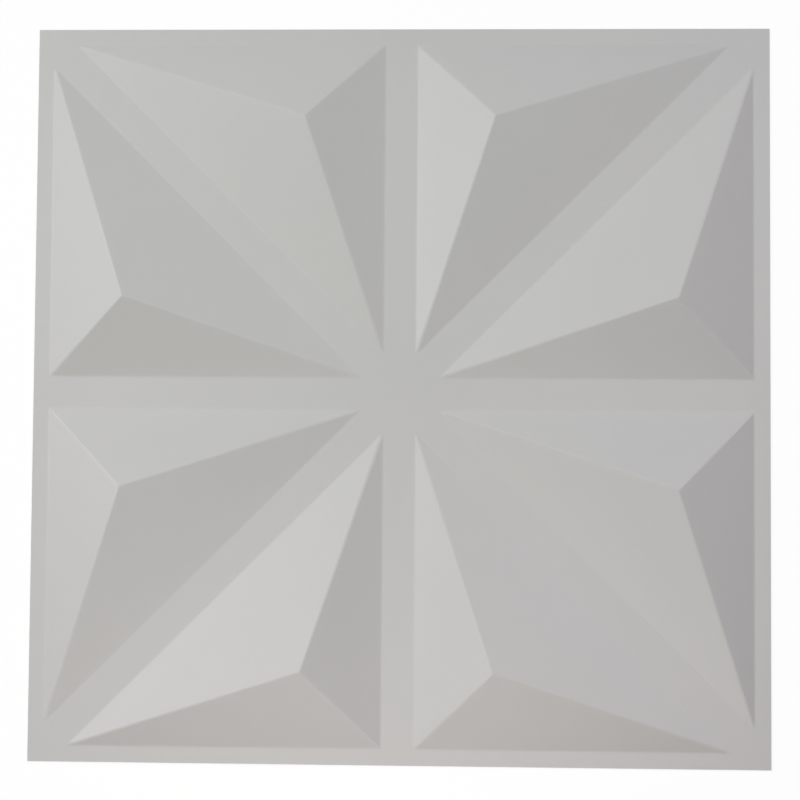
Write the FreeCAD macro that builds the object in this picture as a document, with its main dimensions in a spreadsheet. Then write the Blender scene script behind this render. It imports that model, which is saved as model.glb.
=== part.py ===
"""A square relief tile for covering a wall, formed from one thin sheet of rigid plastic.

Eight low three-sided pyramids stand up from the sheet and make an eight-pointed star. Flat strips of one
width part them: an upright cross, a diagonal cross, and a rim of half a strip, so that two tiles laid edge
to edge leave a whole strip between their pyramids. Behind each pyramid the sheet is hollow, because the
wall is as thick there as in the strips.

The tile lies on its back. The origin is the middle of the back, +Z points out of the patterned front, and
the sides run along X and Y. All sizes are in millimetres.
"""
import FreeCAD, Part
import Sketcher
import math
import os

# Each size that can be chosen by itself: its name, its value in millimetres, and what it is.
SIZES = [
    ("panel_side", 500, "length of each side of the tile"),
    ("strip_width", 22, "width of every flat strip between pyramids, and twice that of the rim"),
    ("apex_inset", 53, "from a pyramid's right-angled sides in to its apex"),
    ("relief_height", 24, "rise of a pyramid's apex above the front of the flat strips"),
    ("sheet_thickness", 1, "wall of the formed sheet, the same all over"),
    ("ridge_inner_radius", 1.5, "rounding of the ridges on the back of the sheet"),
    ("crease_radius", 4, "rounding on the front where a pyramid meets the flat strips"),
]
QUARTER_TURNS = 4
# Heights closer than this are the same.
CLOSE = 1e-4
# A sketch's own numbers for the two ends of a line, and for its origin point.
START, END = 1, 2
ORIGIN = (-1, 1)

# Lengths that follow from the sizes, as expressions. The first pyramid lies right of the upright strip and
# above the diagonal one. Its foot is a triangle with a right angle at the top left.
CORNER_X = "sizes.strip_width / 2"
CORNER_Y = "(sizes.panel_side - sizes.strip_width) / 2"
SHORT_SIDE = f"({CORNER_Y} - sizes.strip_width / 2 - sizes.strip_width / sqrt(2))"
LONG_SIDE_INSET = f"(({SHORT_SIDE} - 2 * sizes.apex_inset) / sqrt(2))"


def setback(run):
    """How much further in a slope's foot is on the back of the sheet than on its front.

    The slope rises by the relief height over the given run, and front and back are parallel.
    """
    slope = f"sqrt({run} ^ 2 + sizes.relief_height ^ 2)"
    return f"(sizes.sheet_thickness * ({slope} - {run}) / sizes.relief_height)"


SHORT_SETBACK = setback("sizes.apex_inset")
LONG_SETBACK = setback(LONG_SIDE_INSET)
# The hollow has the pyramid's own angles, so it is the same pyramid made smaller by this share.
HOLLOW_SHARE = f"(1 - (2 * {SHORT_SETBACK} + sqrt(2) * {LONG_SETBACK}) / {SHORT_SIDE})"


def make_sizes(doc):
    """The spreadsheet that drives the model: a name, a value and a remark in each row."""
    sheet = doc.addObject("Spreadsheet::Sheet", "sizes")
    for row, (alias, value, remark) in enumerate(SIZES, start=1):
        sheet.set(f"A{row}", alias)
        sheet.set(f"B{row}", str(value))
        sheet.setAlias(f"B{row}", alias)
        sheet.set(f"C{row}", remark)
    doc.recompute()


def flat_sketch(body, name, height):
    """An empty sketch on the body's XY plane, raised by a height that is given as an expression."""
    sketch = body.newObject("Sketcher::SketchObject", name)
    ground = next(part for part in body.Origin.OriginFeatures if part.Role == "XY_Plane")
    sketch.AttachmentSupport = (ground, "")
    sketch.MapMode = "FlatFace"
    sketch.setExpression("AttachmentOffset.Base.z", height)
    return sketch


def tie(sketch, kind, *where, to):
    """Adds a dimension to a sketch and ties it to an expression, starting at the value drawn."""
    drawn = sketch.evalExpression(to)
    number = sketch.addConstraint(Sketcher.Constraint(kind, *where, float(drawn)))
    sketch.setExpression(f"Constraints[{number}]", to)


def closed_loop(sketch, corners):
    """Draws straight sides through the corners, joined end to end, and returns their numbers."""
    following = corners[1:] + corners[:1]
    sides = [sketch.addGeometry(Part.LineSegment(a, b), False) for a, b in zip(corners, following)]
    for side, next_side in zip(sides, sides[1:] + sides[:1]):
        sketch.addConstraint(Sketcher.Constraint("Coincident", side, END, next_side, START))
    return sides


def outline_sketch(body):
    """The square outline of the tile, with the origin in its middle."""
    sketch = flat_sketch(body, "tile_outline", "0")
    half = sketch.evalExpression("sizes.panel_side / 2")
    corners = [FreeCAD.Vector(x, y) for x, y in [(-half, -half), (half, -half), (half, half), (-half, half)]]
    bottom, right, top, left = closed_loop(sketch, corners)
    for side in (bottom, top):
        sketch.addConstraint(Sketcher.Constraint("Horizontal", side))
    for side in (right, left):
        sketch.addConstraint(Sketcher.Constraint("Vertical", side))
    sketch.addConstraint(Sketcher.Constraint("Symmetric", bottom, START, right, END, *ORIGIN))
    tie(sketch, "DistanceX", bottom, START, bottom, END, to="sizes.panel_side")
    tie(sketch, "DistanceY", right, START, right, END, to="sizes.panel_side")
    return sketch


def foot_sketch(body, name, height, short_setback, long_setback):
    """The triangle that a pyramid or its hollow stands on.

    Its two short sides run along the rim and the upright strip, and its long side along the diagonal
    strip. The setbacks move them in. The construction line down the middle of the diagonal strip is also
    the line that the second pyramid is mirrored in.
    """
    sketch = flat_sketch(body, name, height)
    from_axis = f"{CORNER_X} + {short_setback}"
    from_middle = f"{CORNER_Y} - {short_setback}"
    from_diagonal = f"sizes.strip_width / 2 + {long_setback}"
    x, y = sketch.evalExpression(from_axis), sketch.evalExpression(from_middle)
    offset = sketch.evalExpression(from_diagonal) * math.sqrt(2)
    corners = [FreeCAD.Vector(x, y), FreeCAD.Vector(y - offset, y), FreeCAD.Vector(x, x + offset)]
    top, long_side, left = closed_loop(sketch, corners)
    diagonal = sketch.addGeometry(Part.LineSegment(FreeCAD.Vector(0, 0), FreeCAD.Vector(y, y)), True)
    sketch.addConstraint(Sketcher.Constraint("Coincident", diagonal, START, *ORIGIN))
    sketch.addConstraint(Sketcher.Constraint("Angle", diagonal, math.radians(45)))
    tie(sketch, "DistanceY", *ORIGIN, diagonal, END, to=CORNER_Y)
    sketch.addConstraint(Sketcher.Constraint("Horizontal", top))
    sketch.addConstraint(Sketcher.Constraint("Vertical", left))
    sketch.addConstraint(Sketcher.Constraint("Parallel", long_side, diagonal))
    tie(sketch, "DistanceX", *ORIGIN, top, START, to=from_axis)
    tie(sketch, "DistanceY", *ORIGIN, top, START, to=from_middle)
    tie(sketch, "Distance", long_side, START, diagonal, to=from_diagonal)
    return sketch


def apex_sketch(body, name, height, inset):
    """The point at the top of a pyramid or its hollow, as far in from both short sides of the foot."""
    sketch = flat_sketch(body, name, height)
    across, up = f"{CORNER_X} + {inset}", f"{CORNER_Y} - {inset}"
    place = FreeCAD.Vector(sketch.evalExpression(across), sketch.evalExpression(up))
    apex = sketch.addGeometry(Part.Point(place), False)
    tie(sketch, "DistanceX", *ORIGIN, apex, START, to=across)
    tie(sketch, "DistanceY", *ORIGIN, apex, START, to=up)
    return sketch


def loft_to_point(body, kind, name, foot, apex):
    """A loft with flat sides from a foot up to its apex, added to the sheet or cut out of it."""
    loft = body.newObject(kind, name)
    loft.Profile = foot
    loft.Sections = [(apex, [""])]
    loft.Ruled = True
    return loft


def eightfold(body, originals, foot):
    """Mirrors the first pyramid and its hollow in the diagonal, then turns the pair to all four sides."""
    star = body.newObject("PartDesign::MultiTransform", "star")
    mirror = body.newObject("PartDesign::Mirrored", "across_diagonal")
    mirror.MirrorPlane = (foot, ["Axis0"])
    turns = body.newObject("PartDesign::PolarPattern", "quarter_turns")
    turns.Axis = (foot, ["N_Axis"])
    turns.Angle = 360
    turns.Occurrences = QUARTER_TURNS
    star.Originals = originals
    star.Transformations = [mirror, turns]
    body.Tip = star
    return star


def rounded(body, name, base, belongs, radius):
    """A fillet of the base's edges that belong to one group, with its radius given as an expression."""
    edges = [f"Edge{number}" for number, edge in enumerate(base.Shape.Edges, start=1) if belongs(edge)]
    if not edges:
        raise RuntimeError(f"{name} finds no edge")
    fillet = body.newObject("PartDesign::Fillet", name)
    fillet.Base = (base, edges)
    fillet.setExpression("Radius", radius)
    body.Tip = fillet
    body.Document.recompute()
    return fillet


def reaches(height):
    """A test for edges with an end at a height: the ridges that run up to an apex there."""
    return lambda edge: any(abs(vertex.Z - height) < CLOSE for vertex in edge.Vertexes)


def lies_at(height, limit):
    """A test for edges that lie level at a height, nearer to the middle than the tile's own border."""
    def belongs(edge):
        box = edge.BoundBox
        level = max(abs(box.ZMin - height), abs(box.ZMax - height)) < CLOSE
        return level and max(-box.XMin, box.XMax, -box.YMin, box.YMax) < limit
    return belongs


def formed_tile(doc):
    """The whole tile: a flat sheet, its pyramids and their hollows, with every fold rounded."""
    body = doc.addObject("PartDesign::Body", "relief_tile")
    body.Label = "relief_tile"

    sheet = body.newObject("PartDesign::Pad", "flat_sheet")
    sheet.Profile = outline_sketch(body)
    sheet.setExpression("Length", "sizes.sheet_thickness")

    front = foot_sketch(body, "pyramid_foot", "sizes.sheet_thickness", "0", "0")
    top = "sizes.sheet_thickness + sizes.relief_height"
    front_apex = apex_sketch(body, "pyramid_apex", top, "sizes.apex_inset")
    pyramid = loft_to_point(body, "PartDesign::AdditiveLoft", "pyramid", front, front_apex)

    back = foot_sketch(body, "hollow_foot", "0", SHORT_SETBACK, LONG_SETBACK)
    hollow_inset = f"({SHORT_SETBACK} + {HOLLOW_SHARE} * sizes.apex_inset)"
    back_apex = apex_sketch(body, "hollow_apex", f"{HOLLOW_SHARE} * sizes.relief_height", hollow_inset)
    hollow = loft_to_point(body, "PartDesign::SubtractiveLoft", "hollow", back, back_apex)

    star = eightfold(body, [pyramid, hollow], front)
    doc.recompute()

    # Each fold has one centre, so the radius on its outer side is the inner one plus the sheet's wall. The
    # ridges come first, because the roundings of the creases run round their ends.
    inside_rim = float(doc.sizes.evalExpression("sizes.panel_side / 2 - sizes.strip_width / 4"))
    front_z, back_z = front.Placement.Base.z, back.Placement.Base.z
    outer_ridge = "sizes.ridge_inner_radius + sizes.sheet_thickness"
    outer_crease = "sizes.crease_radius + sizes.sheet_thickness"
    tile = rounded(body, "front_ridges", star, reaches(front_apex.Placement.Base.z), outer_ridge)
    tile = rounded(body, "back_ridges", tile, reaches(back_apex.Placement.Base.z), "sizes.ridge_inner_radius")
    tile = rounded(body, "front_creases", tile, lies_at(front_z, inside_rim), "sizes.crease_radius")
    rounded(body, "back_creases", tile, lies_at(back_z, inside_rim), outer_crease)
    return body


def check(doc, body):
    """Stops unless every object is in order and the tile is one valid solid."""
    for part in doc.Objects:
        if "Invalid" in part.State or "Error" in part.State:
            raise RuntimeError(f"{part.Name} failed: {part.State}")
    shape = body.Shape
    if shape.isNull() or not shape.isValid() or len(shape.Solids) != 1:
        raise RuntimeError("the tile is not one valid solid")
    print(f"{body.Label}: {len(shape.Faces)} faces, {shape.Volume / 1000:.1f} cm3")


doc = FreeCAD.newDocument("wall_tile")
make_sizes(doc)
tile = formed_tile(doc)
check(doc, tile)
os.makedirs("parts", exist_ok=True)
tile.Shape.exportStep(f"parts/{tile.Label}.step")
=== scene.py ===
"""The relief wall tile, lying on its back and seen from above.

The light is soft, and most of it comes from the upper left of the picture.
"""
import math

import bpy
from mathutils import Matrix, Vector

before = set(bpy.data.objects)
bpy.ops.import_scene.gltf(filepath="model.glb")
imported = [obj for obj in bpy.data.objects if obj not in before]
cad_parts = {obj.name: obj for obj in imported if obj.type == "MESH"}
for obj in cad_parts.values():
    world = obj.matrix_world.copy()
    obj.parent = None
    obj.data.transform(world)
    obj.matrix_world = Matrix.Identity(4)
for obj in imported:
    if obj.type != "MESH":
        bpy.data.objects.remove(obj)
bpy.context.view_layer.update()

# The tile's sizes in metres, from which its material knows where the ridges and the cut edge are.
HALF_SIDE = 0.250
HALF_STRIP = 0.011
APEX_INSET = 0.053
RELIEF = 0.024
SHEET = 0.001

# Where the marks on the material start and are complete, in metres. A ridge's mark fades as the two lowest
# slopes part in height, and starts a little above the foot. The cut edge is the last of the sheet's side.
RIDGE_FADE = (0.0002, 0.0022)
ABOVE_FOOT = (0.0004, 0.003)
CUT_EDGE = (HALF_SIDE - 0.0002, HALF_SIDE - 0.00005)

# The plastic's greys on a display, from 0 to 255.
DARKER_GREY = (185.4, 185.3, 184.0)
LIGHTER_GREY = (189.4, 188.9, 187.2)
CUT_GREY = (200, 200, 198)

# Its unevenness: how wide the spots are in metres, how many finer layers they have, and how deep they are
# in metres. The clouding has no depth, because it is only in tone and gloss.
GRAIN_WIDTH, GRAIN_LAYERS, GRAIN_DEPTH = 0.00055, 2.0, 0.000070
RIPPLE_WIDTH, RIPPLE_LAYERS, RIPPLE_DEPTH = 0.007, 1.0, 0.000120
CLOUD_WIDTH, CLOUD_LAYERS = 0.080, 3.0

# How much of the tone is cloud, the rest being grain, and how much of the grain is drawn out on a ridge.
CLOUD_SHARE = 0.7
DRAWN_OUT = 0.7

# The plastic's roughness, how far cloud and ripple change it, and what the cut edge adds to it. The cut edge
# has its own grey in this share.
ROUGHNESS = 0.495
UNEVEN_GLOSS = 0.05
CUT_ROUGHER = 0.12
CUT_SHARE = 0.5

# The middle of the noise, which runs from about 0.25 to 0.75.
MIDDLE = 0.5

# The floor: half its width and its height in metres, its grey on a display, and how much of what the camera
# sees near the tile is plain white. The rest shows the tile's shadow, and fades out between these distances
# from the middle, so that no horizon shows.
FLOOR_HALF = 6.0
FLOOR_HEIGHT = -0.0005
FLOOR_GREY = (254, 254, 254)
WHITE_SHARE = 0.9
FADE_TO_WHITE = (0.4, 1.6)
WHITE = (1.0, 1.0, 1.0, 1.0)

# The camera, as it was found from the folds in the photograph. A point, measured from the middle of the
# strips' front, comes into camera axes when it is turned and then shifted. The turn is its axis times its
# angle in radians, and the shift is in metres. The focal length is a share of the picture's width, both in
# pixels. The sensor is in millimetres, and the nearest and furthest distances that show are in metres.
CAMERA_TURN = (-0.0513, -0.0373, -0.0065)
CAMERA_SHIFT = (-0.00039, 0.00411, -1.29672)
FOCAL_SHARE = 1912.7 / 800
SENSOR = 36.0
NEAREST, FURTHEST = 0.01, 50

# The soft lamps: turn from +X and rise in degrees, distance in metres, watts, colour. The last two are weak
# and tinted, as light is that comes back off coloured things.
LAMPS = (
    ("window", 103.7, 40.0, 6.00, 72.3, (1.019, 0.960, 1.020)),
    ("side", 165.2, 41.6, 1.69, 16.35, (1.005, 0.999, 0.996)),
    ("fill", 23.8, 49.9, 1.35, 5.09, (1.010, 0.993, 0.996)),
    ("front", 267.5, 40.0, 0.65, 0.95, (1.072, 0.998, 0.931)),
    ("violet_bounce", 48.9, 43.2, 1.76, 0.53, (0.81, 0.06, 2.13)),
    ("green_bounce", 105.3, 57.1, 0.53, 0.031, (0.0, 3.0, 0.0)),
)

# A lamp's width as a share of its distance, and the strength of the even light from all round.
LAMP_WIDTH_SHARE = 0.5
EVEN_LIGHT = 0.07


class Socket:
    """A number on its way through some nodes, so that shader maths reads as plain arithmetic."""

    def __init__(self, nodes, socket):
        self.nodes = nodes
        self.socket = socket

    def maths(self, operation, *others):
        return self.nodes.add("ShaderNodeMath", {"operation": operation}, (self, *others))

    def __add__(self, other):
        return self.maths("ADD", other)

    __radd__ = __add__

    def __sub__(self, other):
        return self.maths("SUBTRACT", other)

    def __rsub__(self, other):
        return self.maths("MULTIPLY", -1.0) + other

    def __mul__(self, other):
        return self.maths("MULTIPLY", other)

    __rmul__ = __mul__

    def ramp(self, start, end):
        """0 up to start, 1 from end on, and smooth between them."""
        smooth = {"interpolation_type": "SMOOTHSTEP"}
        return self.nodes.add("ShaderNodeMapRange", smooth, (self, start, end, 0.0, 1.0))


class Nodes:
    """The nodes of one material or of the world. Each is made by the same method."""

    def __init__(self, owner):
        owner.use_nodes = True
        self.owner = owner
        self.tree = owner.node_tree
        self.tree.nodes.clear()

    def add(self, kind, settings=None, values=(), out=0):
        """Adds a node of a kind, with its settings first and then values or links on its sockets."""
        made = self.tree.nodes.new(kind)
        for name, value in (settings or {}).items():
            setattr(made, name, value)
        for place, value in values.items() if isinstance(values, dict) else enumerate(values):
            if isinstance(value, Socket):
                self.tree.links.new(value.socket, made.inputs[place])
            else:
                made.inputs[place].default_value = value
        return Socket(self, made.outputs[out]) if made.outputs else made

    def noise(self, place, width, layers):
        """Soft noise from about 0.25 to 0.75, with spots of the given width and some finer layers."""
        values = {"Vector": place, "Scale": 1 / width, "Detail": layers}
        return self.add("ShaderNodeTexNoise", {}, values, "Fac")

    def mix(self, share, one, other):
        """A colour between two colours."""
        return self.add("ShaderNodeMix", {"data_type": "RGBA"}, {0: share, 6: one, 7: other}, 2)

    def shown_as(self, white, real, share=1.0):
        """White, in this share, to the camera and to rays off gloss or through glass. Else it is real."""
        kinds = ("Camera", "Glossy", "Transmission")
        camera, gloss, glass = (self.add("ShaderNodeLightPath", out=f"Is {kind} Ray") for kind in kinds)
        seen = camera.maths("MAXIMUM", gloss).maths("MAXIMUM", glass)
        return self.add("ShaderNodeMixShader", {}, (seen * share, real, white))


def tone(red, green, blue):
    """A display colour from 0 to 255 as a linear one, by the display's own curve."""
    return (*(((part / 255 + 0.055) / 1.055) ** 2.4 for part in (red, green, blue)), 1.0)


def relief_marks(nodes, place):
    """How near a point is to the ridges, and to the sheet's cut edge, from 0 to 1.

    The tile is eightfold, so the larger and the smaller of |x| and |y| put every pyramid over the first. Its
    three slopes are planes that rise inwards from the sides of its foot, and the surface is the lowest of
    them. On a ridge the lowest two are level with each other.
    """
    parts = nodes.add("ShaderNodeVectorMath", {"operation": "ABSOLUTE"}, (place,))
    x, y = (nodes.add("ShaderNodeSeparateXYZ", {}, (parts,), axis) for axis in range(2))
    across, along = x.maths("MINIMUM", y), x.maths("MAXIMUM", y)
    inner, outer = HALF_STRIP, HALF_SIDE - HALF_STRIP
    long_run = (outer - inner - 2 * APEX_INSET) / math.sqrt(2) - HALF_STRIP
    from_strip = (across - inner) * (RELIEF / APEX_INSET)
    from_rim = (outer - along) * (RELIEF / APEX_INSET)
    from_diagonal = (along - across - HALF_STRIP * math.sqrt(2)) * (RELIEF / long_run / math.sqrt(2))
    lowest = from_strip.maths("MINIMUM", from_rim).maths("MINIMUM", from_diagonal)
    highest = from_strip.maths("MAXIMUM", from_rim).maths("MAXIMUM", from_diagonal)
    between = from_strip + from_rim + from_diagonal - lowest - highest
    ridge = (1 - (between - lowest).ramp(*RIDGE_FADE)) * lowest.ramp(*ABOVE_FOOT)
    return ridge, along.ramp(*CUT_EDGE)


def matte_sheet():
    """Pale grey rigid plastic with the fine matt grain of its rolled face.

    The grain is about half a millimetre across and hundredths of a millimetre deep, over a gentler ripple
    of some millimetres. Where the sheet was drawn over a ridge the grain is stretched flatter. The cut edge
    is rougher and paler.
    """
    sheet = Nodes(bpy.data.materials.new("matte_sheet"))
    place = sheet.add("ShaderNodeTexCoord", out="Object")
    grain = sheet.noise(place, GRAIN_WIDTH, GRAIN_LAYERS)
    ripple = sheet.noise(place, RIPPLE_WIDTH, RIPPLE_LAYERS)
    cloud = sheet.noise(place, CLOUD_WIDTH, CLOUD_LAYERS)
    ridge, edge = relief_marks(sheet, place)
    paleness = cloud * CLOUD_SHARE + grain * (1 - CLOUD_SHARE)
    shade = sheet.mix(paleness, tone(*DARKER_GREY), tone(*LIGHTER_GREY))
    colour = sheet.mix(edge * CUT_SHARE, shade, tone(*CUT_GREY))
    unevenness = (cloud - MIDDLE) * UNEVEN_GLOSS + (ripple - MIDDLE) * UNEVEN_GLOSS
    roughness = ROUGHNESS + unevenness + edge * CUT_ROUGHER
    height = grain * (1 - ridge * DRAWN_OUT) * GRAIN_DEPTH + ripple * RIPPLE_DEPTH
    normal = sheet.add("ShaderNodeBump", {}, {"Strength": 1.0, "Distance": 1.0, "Height": height}, "Normal")
    finish = {"Base Color": colour, "Roughness": roughness, "Normal": normal}
    shader = sheet.add("ShaderNodeBsdfPrincipled", {}, finish)
    sheet.add("ShaderNodeOutputMaterial", {}, {"Surface": shader})
    return sheet.owner


def white_floor():
    """A wide plane just under the tile, which the camera sees as white with a trace of the tile's shadow."""
    mesh = bpy.data.meshes.new("floor")
    signs = ((-1, -1), (1, -1), (1, 1), (-1, 1))
    corners = [(x * FLOOR_HALF, y * FLOOR_HALF, FLOOR_HEIGHT) for x, y in signs]
    mesh.from_pydata(corners, [], [(0, 1, 2, 3)])
    paint = Nodes(bpy.data.materials.new("white_floor"))
    real = paint.add("ShaderNodeBsdfDiffuse", {}, {"Color": tone(*FLOOR_GREY)})
    white = paint.add("ShaderNodeEmission", {}, {"Color": WHITE, "Strength": 1.0})
    place = paint.add("ShaderNodeTexCoord", out="Object")
    away = paint.add("ShaderNodeVectorMath", {"operation": "LENGTH"}, (place,), "Value")
    share = WHITE_SHARE + away.ramp(*FADE_TO_WHITE) * (1 - WHITE_SHARE)
    paint.add("ShaderNodeOutputMaterial", {}, {"Surface": paint.shown_as(white, real, share)})
    mesh.materials.append(paint.owner)
    floor = bpy.data.objects.new("floor", mesh)
    bpy.context.scene.collection.objects.link(floor)


def plain_world():
    """Even light from all round, which the camera sees as white."""
    world = bpy.data.worlds.new("studio")
    sky = Nodes(world)
    light = sky.add("ShaderNodeBackground", {}, {"Color": WHITE, "Strength": EVEN_LIGHT})
    white = sky.add("ShaderNodeBackground", {}, {"Color": WHITE, "Strength": 1.0})
    sky.add("ShaderNodeOutputWorld", {}, {"Surface": sky.shown_as(white, light)})
    bpy.context.scene.world = world


def soft_lamp(name, turn, rise, distance, power, colour):
    """A square soft lamp that faces the tile's middle. The camera doesn't see the lamp itself."""
    turn, rise = math.radians(turn), math.radians(rise)
    level = math.cos(rise)
    place = distance * Vector((level * math.cos(turn), level * math.sin(turn), math.sin(rise)))
    data = bpy.data.lights.new(name, "AREA")
    data.size = distance * LAMP_WIDTH_SHARE
    data.energy = power
    data.color = colour
    lamp = bpy.data.objects.new(name, data)
    lamp.location = place
    lamp.rotation_mode = "QUATERNION"
    lamp.rotation_quaternion = (-place).to_track_quat("-Z", "Y")
    lamp.visible_camera = False
    bpy.context.scene.collection.objects.link(lamp)


def camera_over(shift, turn):
    """Places the camera so that the turn and then the shift bring a point into its axes."""
    axis = Vector(turn)
    to_camera = Matrix.Rotation(axis.length, 3, axis.normalized())
    data = bpy.data.cameras.new("camera")
    data.sensor_width = SENSOR
    data.lens = SENSOR * FOCAL_SHARE
    data.clip_start, data.clip_end = NEAREST, FURTHEST
    camera = bpy.data.objects.new("camera", data)
    back = to_camera.transposed()
    camera.matrix_world = Matrix.Translation(Vector((0, 0, SHEET)) - back @ Vector(shift)) @ back.to_4x4()
    bpy.context.scene.collection.objects.link(camera)
    bpy.context.scene.camera = camera


camera_over(CAMERA_SHIFT, CAMERA_TURN)
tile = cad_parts["relief_tile"]
tile.material_slots[0].material = matte_sheet()
white_floor()
plain_world()
for lamp in LAMPS:
    soft_lamp(*lamp)
bpy.context.scene.view_settings.view_transform = "Standard"
